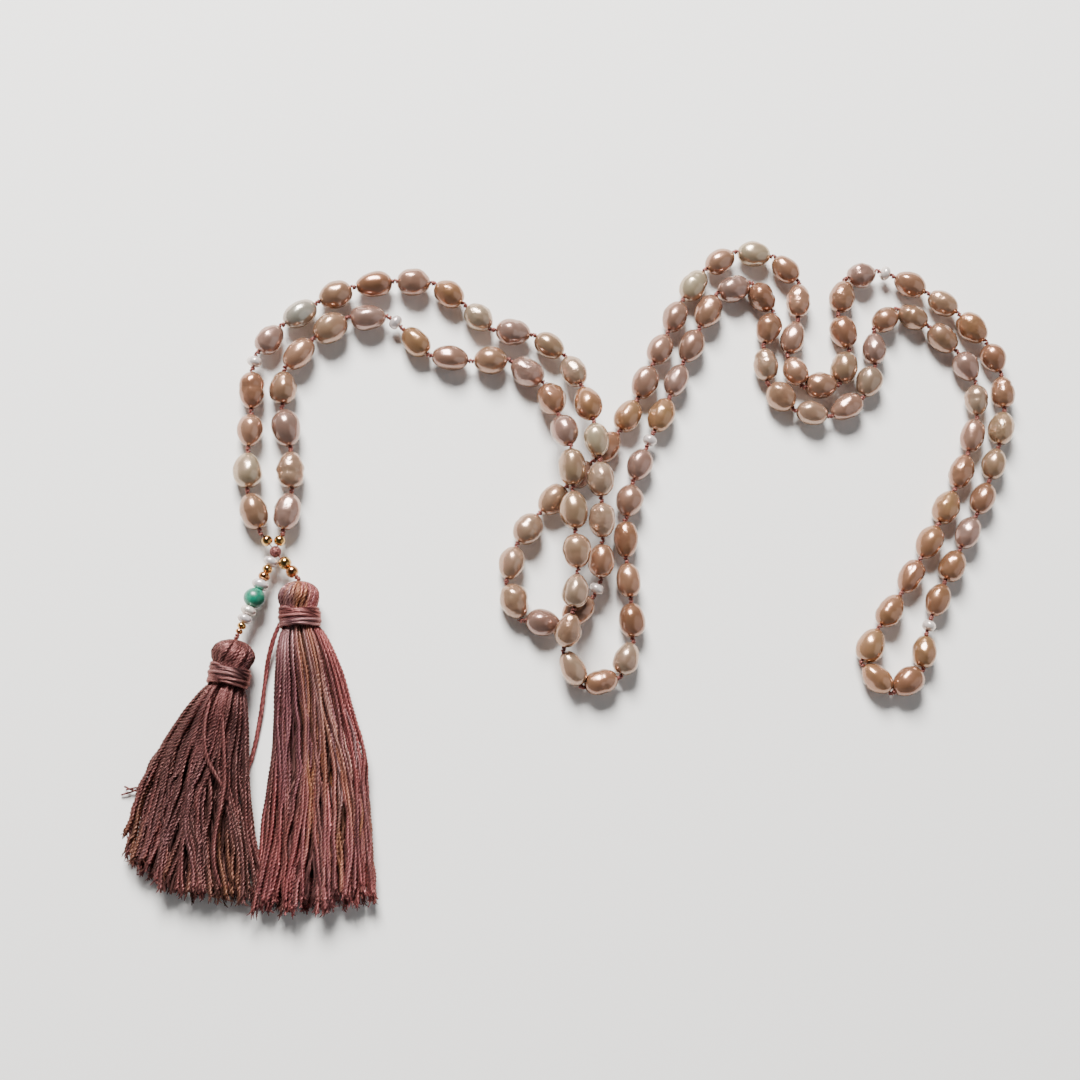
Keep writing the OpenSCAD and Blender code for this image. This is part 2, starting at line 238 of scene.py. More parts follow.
def drilled(points):
    """Middle, hole direction, length and width of a drilled bead."""
    spread, axes = np.linalg.eigh(np.cov((points - points.mean(0)).T))
    axis = axes[:, 2] if spread[2] - spread[1] > spread[1] - spread[0] else axes[:, 0]
    for _ in range(2):
        high = points @ axis
        top = points[high > high.max() - 0.02 * MM].mean(0)
        bottom = points[high < high.min() + 0.02 * MM].mean(0)
        axis = unit(top - bottom)
    middle = (top + bottom) / 2
    across = points - middle
    across = across - np.outer(across @ axis, axis)
    return middle, axis, np.linalg.norm(top - bottom), 2 * np.linalg.norm(across, axis=1).max()


def strand():
    """Every pearl and seed pearl in order round the loop, and the knots between them."""
    items = []
    for node in sorted(frame["nodes"]):
        if node.endswith(("_pearls", "_seeds")):
            items += [(node, *drilled(points)) for points in solids(node)]
    ends = np.array([[middle - axis * (length + KNOT_GAP) / 2,
                      middle + axis * (length + KNOT_GAP) / 2]
                     for _, middle, axis, length, _ in items])
    guru = middle_of("guru_knot")
    left = set(range(len(items)))
    loose = [(i, e) for i in left for e in (0, 1)
             if sum(np.linalg.norm(ends[list(left)] - ends[i, e], axis=2).ravel() < 0.3 * MM) == 1]
    i, e = min(loose, key=lambda ie: ends[ie][0] + 0.001 * np.linalg.norm(ends[ie] - guru))
    order, knots = [], [ends[i, e]]
    while True:
        node, middle, axis, length, width = items[i]
        order.append((node, middle, axis if e == 0 else -axis, length, width))
        left.discard(i)
        knots.append(ends[i, 1 - e])
        if not left:
            break
        away = {(j, f): np.linalg.norm(ends[j, f] - knots[-1]) for j in left for f in (0, 1)}
        i, e = min(away, key=away.get)
        if away[i, e] > 0.4 * MM:
            raise ValueError(f"the strand breaks after {len(order)} pearls")
    return order, np.array(knots)


def middle_of(node):
    low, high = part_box(node)
    return (np.array(low) + np.array(high)) / 2


def shade(red, green, blue):
    """A colour for a shader, from its everyday 0 to 255 values."""
    plain = np.array([red, green, blue]) / 255
    linear = np.where(plain <= 0.04045, plain / 12.92, ((plain + 0.055) / 1.055) ** 2.4)
    return tuple(linear) + (1.0,)


# ---------------------------------------------------------------- finishes

def finish(name, **values):
    """A Principled material with plain numbers on its sockets, and its tree."""
    material = bpy.data.materials.new(name)
    material.use_nodes = True
    principled = material.node_tree.nodes["Principled BSDF"]
    for socket, value in values.items():
        principled.inputs[socket.replace("_", " ")].default_value = value
    return material, Tree(material.node_tree), principled


def bump(tree, principled, height, distance, strength=1.0):
    """Fine relief on a finish, from a height pattern."""
    made = tree.node("ShaderNodeBump",
                     {"Height": height, "Distance": distance, "Strength": strength})
    tree.join(made.outputs[0], principled.inputs["Normal"])


def object_place(tree):
    return tree.node("ShaderNodeTexCoord").outputs["Object"]


def carried(tree, name, output="Color"):
    """What a piece carries on its own points, in a material."""
    return tree.node("ShaderNodeAttribute", attribute_name=name).outputs[output]


def nacre_finish(name, roughness, metallic, film):
    """Nacre: each pearl carries its body colour, with clouds, fine ripples and, on some, pits."""
    material, tree, principled = finish(
        name, Roughness=roughness, Metallic=metallic, IOR=1.6, Coat_Weight=1.0,
        Coat_Roughness=0.07, Coat_IOR=1.55, Specular_Tint=(0.72, 0.56, 0.46, 1.0),
        Thin_Film_Thickness=film, Thin_Film_IOR=1.36,
        Sheen_Weight=0.03, Sheen_Roughness=0.3, Sheen_Tint=shade(255, 186, 150))
    place = object_place(tree)
    nacre = carried(tree, "nacre")
    cloud = tree.noise(place, 240.0, 3.0)
    rosy = tree.mix(0.35, nacre, shade(170, 118, 100))
    colour = tree.mix(tree.math("MULTIPLY_ADD", cloud, 2.2, -0.7), nacre, rosy)
    tree.join(colour, principled.inputs["Base Color"])
    ripple = tree.noise(place, 560.0, 2.0)
    pores = tree.noise(place, 2600.0, 2.0)
    pitted = tree.math("MULTIPLY", tree.noise(place, 1150.0, 2.0), carried(tree, "pits", "Fac"))
    height = tree.math("ADD", tree.math("MULTIPLY_ADD", pores, 0.1, ripple), pitted)
    bump(tree, principled, height, 0.00008, 0.7)
    return material


def floss_finish(name, filaments, depth, sheen, roughness, metallic):
    """Mercerised floss: dye carried along each strand, and filaments that run with its twist."""
    material, tree, principled = finish(
        name, Roughness=roughness, Metallic=metallic, Specular_IOR_Level=0.5,
        Specular_Tint=shade(255, 200, 190), Sheen_Weight=sheen, Sheen_Roughness=0.4,
        Sheen_Tint=shade(255, 186, 170))
    dye = carried(tree, "dye")
    fibre = carried(tree, "fibre", "Vector")
    place = object_place(tree)
    mottle = tree.noise(place, 1100.0, 3.0)
    deep = tree.mix(1.0, dye, (0.52, 0.42, 0.47, 1.0), "MULTIPLY")
    colour = tree.mix(tree.math("MULTIPLY_ADD", mottle, 2.4, -0.7), deep, dye)
    lines = tree.noise(tree.vector("MULTIPLY", fibre, (filaments, filaments, 0.35)), 1.0, 3.0, 0.6)
    colour = tree.mix(tree.math("MULTIPLY_ADD", lines, 2.6, -0.9), deep, colour)
    # painted shade darkens the grooves between the plies, and a painted highlight pales their
    # ridges
    ridge = tree.math("MULTIPLY_ADD", carried(tree, "ridge", "Fac"), 0.5, 0.5)
    painted_groove_shade = tree.mix(1.0, colour, (0.26, 0.19, 0.22, 1.0), "MULTIPLY")
    # the ridges are paled toward pink-white as a painted highlight
    pale = tree.mix(0.2, colour, shade(250, 184, 176))
    colour = tree.mix(ridge, painted_groove_shade, pale)
    tree.join(colour, principled.inputs["Base Color"])
    bump(tree, principled, lines, depth, 1.0)
    return material


def gold_finish(name, bright, worn, roughness):
    """Polished gold with faint wear."""
    material, tree, principled = finish(name, Metallic=1.0, Roughness=roughness)
    place = object_place(tree)
    wear = tree.noise(place, 900.0, 4.0)
    tree.join(tree.mix(tree.math("MULTIPLY_ADD", wear, 2.0, -0.6), bright, worn),
              principled.inputs["Base Color"])
    bump(tree, principled, tree.noise(place, 1800.0, 3.0), 0.00002, 0.4)
    return material


def turquoise_finish():
    """Clouded blue-green stone with dark specks."""
    material, tree, principled = finish("turquoise_stone", Roughness=0.36, Coat_Weight=0.3,
                                        Coat_Roughness=0.1, Specular_IOR_Level=0.55)
    place = object_place(tree)
    cloud = tree.noise(place, 420.0, 4.0)
    body = tree.ramp(cloud, [(0.36, shade(4, 74, 58)[:3]), (0.52, shade(12, 100, 78)[:3]),
                             (0.7, shade(30, 132, 104)[:3])])
    cells = tree.node("ShaderNodeTexVoronoi", {"Vector": place, "Scale": 900.0})
    edge = tree.math("MULTIPLY_ADD", tree.noise(place, 1700.0, 3.0), 0.35,
                     cells.outputs["Distance"])
    speck = tree.ramp(edge, [(0.36, (1.0, 1.0, 1.0)), (0.46, (0.0, 0.0, 0.0))])
    chosen = tree.ramp(tree.noise(place, 330.0, 1.0), [(0.42, (0.0,) * 3), (0.48, (1.0,) * 3)])
    marks = tree.mix(1.0, speck, chosen, "MULTIPLY")
    tree.join(tree.mix(marks, body, shade(6, 66, 54)), principled.inputs["Base Color"])
    bump(tree, principled, cloud, 0.00006, 0.5)
    return material


NACRE = nacre_finish("pearl_nacre", 0.24, 0.6, 340.0)
WHITE_NACRE = nacre_finish("white_nacre", 0.26, 0.4, 300.0)
SILK = floss_finish("knotted_silk", 5.0, 0.00006, 0.08, 0.34, 0.5)
FLOSS = floss_finish("tassel_floss", 7.0, 0.00014, 0.05, 0.27, 0.7)
GOLD = gold_finish("polished_gold", shade(226, 186, 122), shade(176, 124, 72), 0.13)
ROSE_GOLD = gold_finish("rose_gold", shade(214, 160, 112), shade(150, 96, 60), 0.15)
TURQUOISE = turquoise_finish()


# ---------------------------------------------------------------- pearls

def pearl_tree():
    """Puts a pearl at each point, then shapes it: egg, fullness, rings, dents and drill dimples."""
    t = geometry_tree("pearls", [("Around", "Int"), ("Rings", "Int"), ("Dent", "Float"),
                                 ("Dimple", "Float"), ("Finish", "Material")])
    ball = t.node("GeometryNodeMeshUVSphere", {0: t.enter["Around"], 1: t.enter["Rings"], 2: 1.0})
    ball = t.keep(ball.outputs["Mesh"], "ball", t.node("GeometryNodeInputPosition"))
    turn = t.node("FunctionNodeAlignRotationToVector", {"Vector": t.named("hole", "FLOAT_VECTOR")},
                  axis="Z")
    turn = t.node("FunctionNodeAlignRotationToVector",
                  {"Rotation": turn.outputs[0], "Vector": t.named("side", "FLOAT_VECTOR")},
                  axis="X", pivot_axis="Z")
    put = t.node("GeometryNodeInstanceOnPoints", {
        "Points": t.enter["Geometry"], "Instance": ball, "Rotation": turn.outputs[0],
        "Scale": t.named("size", "FLOAT_VECTOR")})
    real = t.node("GeometryNodeRealizeInstances", {0: put}).outputs[0]

    unit_place = t.named("ball", "FLOAT_VECTOR")
    up = t.parts(unit_place)[2]
    middle, hole = t.named("middle", "FLOAT_VECTOR"), t.named("hole", "FLOAT_VECTOR")
    form, ring = t.parts(t.named("form", "FLOAT_VECTOR")), t.parts(t.named("ring", "FLOAT_VECTOR"))
    away = t.vector("SUBTRACT", t.node("GeometryNodeInputPosition"), middle)
    along = t.vector("DOT_PRODUCT", away, hole)
    across = t.vector("SUBTRACT", away, t.vector("SCALE", hole, along))

    # form: how egg-like, how full at the shoulders, and which lumps
    egg = t.math("MULTIPLY_ADD", form[0], up, 1.0)
    sunk = t.math("MAXIMUM", t.math("SUBTRACT", 1.0, t.math("MULTIPLY", up, up)), 0.002)
    full = t.math("POWER", sunk, form[1])
    # ring: where a growth ring lies, how deep it is, and how wide
    off = t.math("DIVIDE", t.math("SUBTRACT", up, ring[0]), ring[2])
    groove = t.math("EXPONENT", t.math("MULTIPLY", t.math("MULTIPLY", off, off), -1.0))
    girth = t.math("MULTIPLY_ADD", groove, t.math("MULTIPLY", ring[1], -1.0), 1.0)
    seed = t.vector("SCALE", t.joined(1.7, 3.1, 2.3), form[2])
    broad = t.math("SUBTRACT", t.noise(t.vector("ADD", unit_place, seed), 0.75, 1.0), 0.5)
    small = t.math("SUBTRACT", t.noise(t.vector("ADD", unit_place, seed), 2.2, 2.0), 0.5)
    swell = t.math("MULTIPLY_ADD", broad, t.math("MULTIPLY", t.enter["Dent"], 5.0), 1.0)
    dents = t.math("MULTIPLY_ADD", small,
                   t.math("MULTIPLY", t.enter["Dent"], t.named("dents")), swell)
    wide = t.math("MULTIPLY", t.math("MULTIPLY", egg, full), t.math("MULTIPLY", girth, dents))
    across = t.vector("SCALE", across, wide)
    # the ends dip into the drilled hole
    out = t.vector("LENGTH", across)
    near_hole = t.math("EXPONENT", t.math("MULTIPLY", t.math("MULTIPLY", out, out), -3.0e6))
    dip = t.math("MULTIPLY", t.math("MULTIPLY", near_hole, t.enter["Dimple"]), t.math("SIGN", up))
    along = t.math("SUBTRACT", along, dip)
    place = t.vector("ADD", middle, t.vector("ADD", across, t.vector("SCALE", hole, along)))
    moved = t.node("GeometryNodeSetPosition", {"Geometry": real, "Position": place}).outputs[0]
    done = t.node("GeometryNodeSetMaterial", {"Geometry": moved, "Material": t.enter["Finish"]})
    t.join(done, t.leave[0])
    return t.tree


PEARLS = pearl_tree()
PEARL_TINTS = [shade(*tint) for tint in [
    (156, 126, 100), (166, 138, 114), (160, 122, 98), (148, 116, 98), (156, 130, 102),
    (150, 118, 92), (146, 118, 106), (156, 134, 112)]]
WARM_TINTS = [shade(*tint) for tint in [
    (152, 112, 80), (150, 112, 86), (142, 102, 76), (156, 120, 84), (146, 108, 82)]]
IVORY_TINTS = [shade(*tint) for tint in [(172, 156, 128), (166, 150, 126), (170, 142, 116)]]
WHITE_TINTS = [shade(*tint) for tint in [(222, 216, 212), (226, 218, 208), (214, 208, 208)]]
GREY_TINT = shade(166, 164, 150)
# Odd pearls, by where they lie in the frame: two with a wrinkled face, and a dull grey one
WRINKLED = np.array([(-0.0168, 0.0454), (0.0993, 0.0395)])
DULL = np.array([(-0.0719, 0.0524)])
# The shares of warm and of ringed pearls, and the draws above which one is ivory, rough or dented
WARM_SHARE, RINGED_SHARE, IVORY_ABOVE, ROUGH_ABOVE, DENTED_ABOVE = 0.28, 0.25, 0.95, 0.78, 0.76


class Pearl:
    """One pearl to be made: its place from the frame and its own look."""

    def __init__(self, middle, hole, length, width, tint, egg=0.0, full=0.0, lumps=0.0,
                 ring=(0.0, 0.0, 0.2), dents=1.0, pits=0.0):
        upright = abs(UP @ hole) >= 0.99
        side = np.array([1.0, 0, 0]) if upright else unit(UP - hole * (UP @ hole))
        self.row = dict(middle=middle, hole=hole, side=side,
                        size=(width / 2, width / 2, length / 2),
                        form=(egg, full, lumps), ring=ring, dents=dents, pits=pits, nacre=tint)


def make_pearls(name, pearls, material, around=36, rings=24, dent=0.06, dimple=0.25 * MM):
    columns = {key: np.array([p.row[key] for p in pearls]) for key in pearls[0].row}
    points = columns["middle"]
    source = guide(name, points, **columns)
    return grown(name, source, PEARLS, Around=around, Rings=rings, Dent=dent, Dimple=dimple,
                 Finish=material)


def pearl_looks(order):
    """Chooses each pearl's shape and colour, in order round the loop."""
    draw = np.random.default_rng(108)
    middles = np.array([item[1][:2] for item in order])
    wrinkled, dull = (
        {int(np.argmin(np.linalg.norm(middles - spot, axis=1))) for spot in spots}
        for spots in (WRINKLED, DULL))
    made = {}
    for place, (node, middle, hole, length, width) in enumerate(order):
        chance = draw.random(14)
        if node.endswith("_seeds"):
            pearl = Pearl(middle, hole, length, width, WHITE_TINTS[int(chance[0] * 3)],
                          full=-0.04, lumps=100 * chance[1])
        else:
            half = place / (len(order) - 1)
            warm = WARM_SHARE + 0.45 * (0.42 < half < 0.6)
            if chance[0] < warm:
                tint = WARM_TINTS[int(chance[1] * len(WARM_TINTS))]
            elif chance[0] > IVORY_ABOVE:
                tint = IVORY_TINTS[int(chance[1] * len(IVORY_TINTS))]
            else:
                tint = PEARL_TINTS[int(chance[1] * len(PEARL_TINTS))]
            tint = tuple(np.clip(np.array(tint[:3]) * (0.86 + 0.24 * chance[2]), 0, 1)) + (1.0,)
            if place in dull:
                tint = GREY_TINT
            ring = (0.9 * chance[3] - 0.45, 0.0, 0.12)
            if chance[4] < RINGED_SHARE:
                ring = (ring[0], 0.03 + 0.05 * chance[5], 0.07 + 0.08 * chance[6])
            rough = chance[12] > ROUGH_ABOVE or place in wrinkled
            pits = (4.0 if place in wrinkled else 1.2 + 1.6 * chance[13]) if rough else 0.0
            pearl = Pearl(middle, hole, length + PEARL_REACH, width * (0.98 + 0.06 * chance[7]),
                          tint, egg=0.3 * (chance[8] - 0.5), full=0.16 * (chance[9] - 0.55),
                          lumps=100 * chance[10], ring=ring,
                          dents=1.2 + 2.8 * (chance[11] > DENTED_ABOVE or rough), pits=pits)
        made.setdefault(node, []).append(pearl)
    return made


# ---------------------------------------------------------------- silk and floss

def rope_tree():
    """Sweeps a lobed round along each line, turned with the line's own twist."""
    t = geometry_tree("rope", [("Sides", "Int"), ("Plies", "Float"), ("Ply depth", "Float"),
                               ("Finish", "Material")])
    line = t.node("GeometryNodeMeshToCurve", {0: t.enter["Geometry"]}).outputs[0]
    line = t.node("GeometryNodeSetCurveRadius",
                  {"Curve": line, "Radius": t.named("thick")}).outputs[0]
    line = t.node("GeometryNodeSetCurveTilt", {"Curve": line, "Tilt": t.named("tilt")}).outputs[0]
    round_ = t.node("GeometryNodeCurvePrimitiveCircle", {"Resolution": t.enter["Sides"]},
                    mode="RADIUS")
    round_.inputs["Radius"].default_value = 1.0
    place = t.node("GeometryNodeInputPosition").outputs[0]
    x, y = t.parts(place)[0], t.parts(place)[1]
    angle = t.math("ARCTAN2", y, x)
    lobe = t.math("COSINE", t.math("MULTIPLY", angle, t.enter["Plies"]))
    swell = t.math("MULTIPLY_ADD", lobe, t.enter["Ply depth"], 1.0)
    profile = t.keep(round_.outputs["Curve"], "round", place)
    profile = t.keep(profile, "ridge", lobe, "FLOAT")
    lobed = t.vector("SCALE", place, swell)
    profile = t.node("GeometryNodeSetPosition",
                     {"Geometry": profile, "Position": lobed}).outputs[0]
    sweep = t.node("GeometryNodeCurveToMesh", {"Curve": line, "Profile Curve": profile,
                                               "Fill Caps": True})
    if "Scale" in sweep.inputs:
        t.join(t.named("thick"), sweep.inputs["Scale"])
    run = t.named("run")
    fibre = t.vector("ADD", t.named("round", "FLOAT_VECTOR"), t.joined(0.0, 0.0, run))
    real = t.node("GeometryNodeRealizeInstances", {0: t.keep(sweep.outputs[0], "fibre", fibre)})
    done = t.node("GeometryNodeSetMaterial", {"Geometry": real, "Material": t.enter["Finish"]})
    t.join(done, t.leave[0])
    return t.tree


ROPE = rope_tree()


class Strand:
    """One line of silk or floss: points, thickness at each, turns of twist per metre and dye."""

    def __init__(self, points, thick, twist, dye, start=0.0):
        self.points = np.array(points, dtype=float)
        count = len(self.points)
        self.thick = np.broadcast_to(np.asarray(thick, dtype=float) / 2, (count,)).copy()
        self.thick[0] *= 0.6
        self.thick[-1] *= 0.6
        steps = np.linalg.norm(np.diff(self.points, axis=0), axis=1)
        self.run = np.concatenate([[0.0], np.cumsum(steps)])
        self.tilt = start + 2 * math.pi * twist * self.run + 0.9 * np.sin(self.run * 520.0 + start)
        self.dye = np.array(np.broadcast_to(np.asarray(dye, dtype=float), (count, 4)))


def make_ropes(name, strands, material, sides, plies, depth):
    """One mesh of twisted strands, with its sides round, its plies, and how deep they are cut."""
    lines, first = [], 0
    for strand_ in strands:
        lines.append((first, first + len(strand_.points) - 1))
        first += len(strand_.points)

    def joined(field):
        return np.concatenate([getattr(strand_, field) for strand_ in strands])

    runs = np.concatenate([s.run * 1000 + 37.0 * k for k, s in enumerate(strands)])
    source = guide(name, joined("points"), lines, thick=joined("thick"), tilt=joined("tilt"),
                   run=runs, dye=joined("dye"))
    values = {"Sides": sides, "Plies": float(plies), "Ply depth": depth, "Finish": material}
    return grown(name, source, ROPE, **values)


SILK_TINTS = [shade(*tint) for tint in [(172, 104, 88), (156, 90, 76), (186, 122, 104)]]
# The dyes that run into one another along the floss
PLUM, MAUVE, ROSE, BLUSH, OCHRE, UMBER, SILVER = (np.array(shade(*tint)) for tint in [
    (108, 46, 64), (156, 98, 114), (194, 92, 94), (246, 156, 154), (216, 154, 80), (116, 62, 50),
    (218, 184, 180)])


def square_to(axis):
    """Two directions square to an axis and to each other."""
    side = np.cross(axis, UP)
    if np.linalg.norm(side) < 0.1:
        side = np.cross(axis, [1.0, 0.0, 0.0])
    side = unit(side)
    return side, np.cross(axis, side)


def knot_wraps(place, axis, turn, long=1.15 * MM, wide=0.36 * MM, turns=2.6, count=22):
    """The turns of silk that show in one knot, coiled about the strand and leaning a little."""
    side, up = square_to(axis)
    t = np.linspace(0.0, 1.0, count)
    angle = turn + 2 * math.pi * turns * t
    reach = wide * (0.62 + 0.38 * np.sin(math.pi * t))
    # the turns go out and come back over themselves, as an overhand knot does
    along = long * (0.5 - 0.5 * np.cos(math.pi * t) - 0.5) + 0.12 * MM * np.cos(angle * 0.5)
    return (place + np.outer(along, axis) + np.outer(reach * np.cos(angle), side)
            + np.outer(reach * np.sin(angle), up))


def silk_line(knots, held_first, held_last, draw):
    """A stretch of knotted thread: straight inside the pearls, wound at each knot it holds."""
    points = []
    last = len(knots) - 1
    for k, knot in enumerate(knots):
        into = unit(knots[max(k, 1)] - knots[max(k, 1) - 1])
        out = unit(knots[min(k, last - 1) + 1] - knots[min(k, last - 1)])
        if k == 0 and not held_first:
            points.append(knot + out * 0.75 * MM)
        elif k == last and not held_last:
            points.append(knot - into * 0.75 * MM)
        else:
            axis = unit(into + out)
            lean = axis + 0.16 * draw.normal(size=3)
            points.append(knot - into * 1.2 * MM)
            points += list(knot_wraps(knot, unit(lean), 6.28 * draw.random()))
            points.append(knot + out * 1.2 * MM)
    return np.array(points)


def silk_strand(points, draw):
    """A twisted thread along the points, in one of the silk's tints."""
    tint = SILK_TINTS[int(draw.random() * len(SILK_TINTS))]
    dye = np.array([np.array(tint) * (0.86 + 0.28 * draw.random()) for _ in points])
    dye[:, 3] = 1.0
    return Strand(points, 0.5 * MM, 320.0, dye)


# How many folds away from the middle of the strand each body is: the nearer one holds the knot
FROM_VALLEY = dict(valley=0, left_loop=1, low_loop=1, span=1, corner=2, rise=3, guru=4, arch=1,
                   crest=2, bend=3, tail=4, tip=5)


def stretches(order):
    """Each body's runs of pearls: its first and last knot, and whether it holds them."""
    bodies = [node.rsplit("_", 1)[0] for node, *_ in order]
    bodies = ["guru"] + bodies + ["guru"]
    starts = [i for i in range(1, len(bodies)) if bodies[i] != bodies[i - 1]]
    runs = []
    for first, last in zip(starts, starts[1:]):
        depth, before, after = (FROM_VALLEY[bodies[i]] for i in (first, first - 1, last))
        runs.append((bodies[first], first - 1, last - 1, depth < before, depth < after))
    return runs


def make_silk(order, knots):
    """The thread of the loop, one piece for each stretch of each body."""
    draw = np.random.default_rng(7)
    pieces = {}
    for number, (body, first, last, held_first, held_last) in enumerate(stretches(order)):
        stretch = knots[first:last + 1]
        line = silk_line(stretch, held_first, held_last, draw)
        piece = make_ropes(f"{body}_thread_{number + 1}", [silk_strand(line, draw)], SILK,
                           9, 3, 0.12)
        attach(piece, body)
        pieces.setdefault(body, []).append(piece)
        path = stretch.copy()
        path[0], path[-1] = line[0], line[-1]
    for body, group in pieces.items():
        for piece in group:
            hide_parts(f"{body}_silk")


# ---------------------------------------------------------------- guru and drops

GURU = np.array([-74.2, 0.1, 3.21]) * MM
DROP_ENDS = {"left": np.array([-82.0, -19.5, 4.71]) * MM,
             "right": np.array([-69.1, -6.1, 4.71]) * MM}
TIPS = {"left": np.array([-90.4, -75.3, 4.71]) * MM,
        "right": np.array([-63.6, -80.1, 4.71]) * MM}
BEADS = {
    "guru_gold_outer": GOLD, "guru_gold_inner": GOLD, "left_oval_pearl": WHITE_NACRE,
    "left_gold_1": GOLD, "left_gold_2": ROSE_GOLD, "left_button_pearl": WHITE_NACRE,
    "turquoise_bead": TURQUOISE, "left_white_1": WHITE_NACRE, "left_white_2": WHITE_NACRE,
    "left_gold_3": GOLD, "left_gold_4": ROSE_GOLD, "right_gold_1": GOLD, "right_gold_2": ROSE_GOLD}
BODY_OF = {node: body for body, members in frame["record"]["behaviour"]["bodies"].items()
           for node in members}


def make_beads():
    """The small beads of the guru and the drops."""
    for number, (node, material) in enumerate(BEADS.items()):
        middle, hole, length, width = drilled(solids(node)[0])
        metal = material in (GOLD, ROSE_GOLD)
        bead = Pearl(middle, hole, length + BEAD_REACH, width, WHITE_TINTS[number % 3],
                     full=-0.05 if metal else 0.0, lumps=3.0 + number,
                     dents=0.0 if metal else 0.6)
        piece = make_pearls(node + "_bead", [bead], material, around=40, rings=26,
                            dent=0.0 if metal else 0.03, dimple=0.2 * MM)
        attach(piece, BODY_OF[node])
        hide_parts(node)


# How each tassel is dyed, from its neck (first row) to its tips, and from its left to its right
DYED = {
    "right": np.array([(SILVER, SILVER, OCHRE, BLUSH, ROSE), (PLUM, MAUVE, OCHRE, MAUVE, ROSE),
                       (PLUM, MAUVE, OCHRE, SILVER, ROSE), (ROSE, UMBER, BLUSH, OCHRE, PLUM),
                       (PLUM, ROSE, PLUM, BLUSH, ROSE)]),
    "left": np.array([(UMBER, BLUSH, BLUSH, ROSE, MAUVE), (UMBER, PLUM, ROSE, PLUM, MAUVE),
                      (UMBER, PLUM, MAUVE, ROSE, PLUM), (ROSE, MAUVE, PLUM, PLUM, ROSE),
                      (OCHRE, BLUSH, ROSE, OCHRE, PLUM)])}
DEPTH_OF_DYE = {"right": 0.84, "left": 0.3}


def floss_dye(side, across, down, draw, stray=0.22):
    """The colours along one strand of floss, from where it lies: across -1 to 1, down 0 to 1."""
    across, down = np.broadcast_arrays(np.asarray(across, dtype=float),
                                       np.asarray(down, dtype=float))
    table = DYED[side]
    column = np.clip((across + stray * draw.normal()) * 2 + 2, 0, 3.999)
    row = np.clip((down + 0.12 * draw.normal()) * 4, 0, 3.999)
    i, j = row.astype(int), column.astype(int)
    u, v = smooth(row - i)[:, None], smooth(column - j)[:, None]
    dye = ((table[i, j] * (1 - v) + table[i, j + 1] * v) * (1 - u)
           + (table[i + 1, j] * (1 - v) + table[i + 1, j + 1] * v) * u)
    dye = dye * DEPTH_OF_DYE[side] * (0.62 + 0.72 * draw.random())
    dye[:, 3] = 1.0
    return dye


def smooth(x):
    x = np.clip(x, 0.0, 1.0)
    return x * x * (3 - 2 * x)


def make_guru(knots):
    """The guru knot, wound like a ball, and the two thread ends that run into it."""
    t = np.linspace(0.0, 2 * math.pi, 190)
    reach = 1.02 * MM
    ball = GURU + reach * np.stack([np.cos(9 * t) * np.cos(4 * t), np.sin(9 * t) * np.cos(4 * t),
                                    np.sin(4 * t)], axis=1)
    draw = np.random.default_rng(3)
    dye = floss_dye("left", np.zeros(len(t)), 0.35, draw)
    knot = make_ropes("guru_knot_wound", [Strand(ball, 0.62 * MM, 200.0, dye)], SILK, 9, 3, 0.1)
    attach(knot, "guru")
    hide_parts("guru_knot")
    ends = []
    for first in (knots[0], knots[-1]):
        toward = unit(GURU - first)
        points = [first + toward * 0.7 * MM, GURU - toward * 0.8 * MM]
        ends.append(silk_strand(np.array(points), draw))
    thread = make_ropes("guru_thread", ends, SILK, 9, 3, 0.12)
    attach(thread, "guru")
    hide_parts("guru_silk")
    for side, end in DROP_ENDS.items():
        away = unit(end - GURU)
        line = [GURU + away * 1.1 * MM, end - away * 1.3 * MM]
        line += list(knot_wraps(end - away * 0.1 * MM, away, 1.0, long=0.9 * MM))
        drop = make_ropes(f"{side}_drop_thread", [silk_strand(np.array(line), draw)], SILK,
                          9, 3, 0.12)
        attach(drop, f"{side}_drop")
        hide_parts(f"{side}_drop_silk")


# ---------------------------------------------------------------- tassels

# In millimetres: from the crown to the binding, the binding's height, where the skirt begins
# inside it, and the skirt's half width there
CROWN, WRAP_H = 6.2, 4.9
SKIRT_TOP = CROWN + WRAP_H - 0.7
NECK = 3.35
# Strands nearer the axis than this share of the width belong to the core, which is darkened as
# painted shade
CORE_SHARE = 0.62
GOLDEN_TURN = 2.39996
SKIRT_STEPS = {"right": 190, "left": 155}
# The head's layers: how many strands, how far sunk in millimetres, and how bright, the sunk layer
# darkened as painted shade under the top one
HEAD_LAYERS = ((34, 0.5, 0.5), (66, 0.0, 1.0))
HEAD_LINE = np.array([(0.75, 0.25), (0.95, 1.2), (1.4, 2.4), (2.2, 3.45), (3.3, 4.02), (4.4, 4.05),
                      (5.4, 3.75), (6.3, 3.4), (7.5, 3.3), (9.9, 3.3)])


class Tassel:
    """A tassel's own directions, and its shape in millimetres from the crown down.

    sway: how much single strands wander, how far the middle bows to the right, how much whole
    locks of strands drift together, how far the outer strands curl out at the tips, and how much
    shorter the cut runs toward the left edge."""

    def __init__(self, side, length, fan, spread, sway, seed):
        self.side, self.length, self.fan, self.spread, self.sway = side, length, fan, spread, sway
        self.crown = DROP_ENDS[side]
        self.down = unit(TIPS[side] - self.crown)
        self.right = np.cross(UP, self.down)
        self.draw = np.random.default_rng(seed)
        self.phases = self.draw.random(3)

    def place(self, down, right, up):
        """Points in the frame from places in the tassel, in millimetres."""
        down, right, up = (np.atleast_1d(np.asarray(v, dtype=float)) * MM
                           for v in (down, right, up))
        return (self.crown + np.outer(down, self.down) + np.outer(right, self.right)
                + np.outer(up, UP))


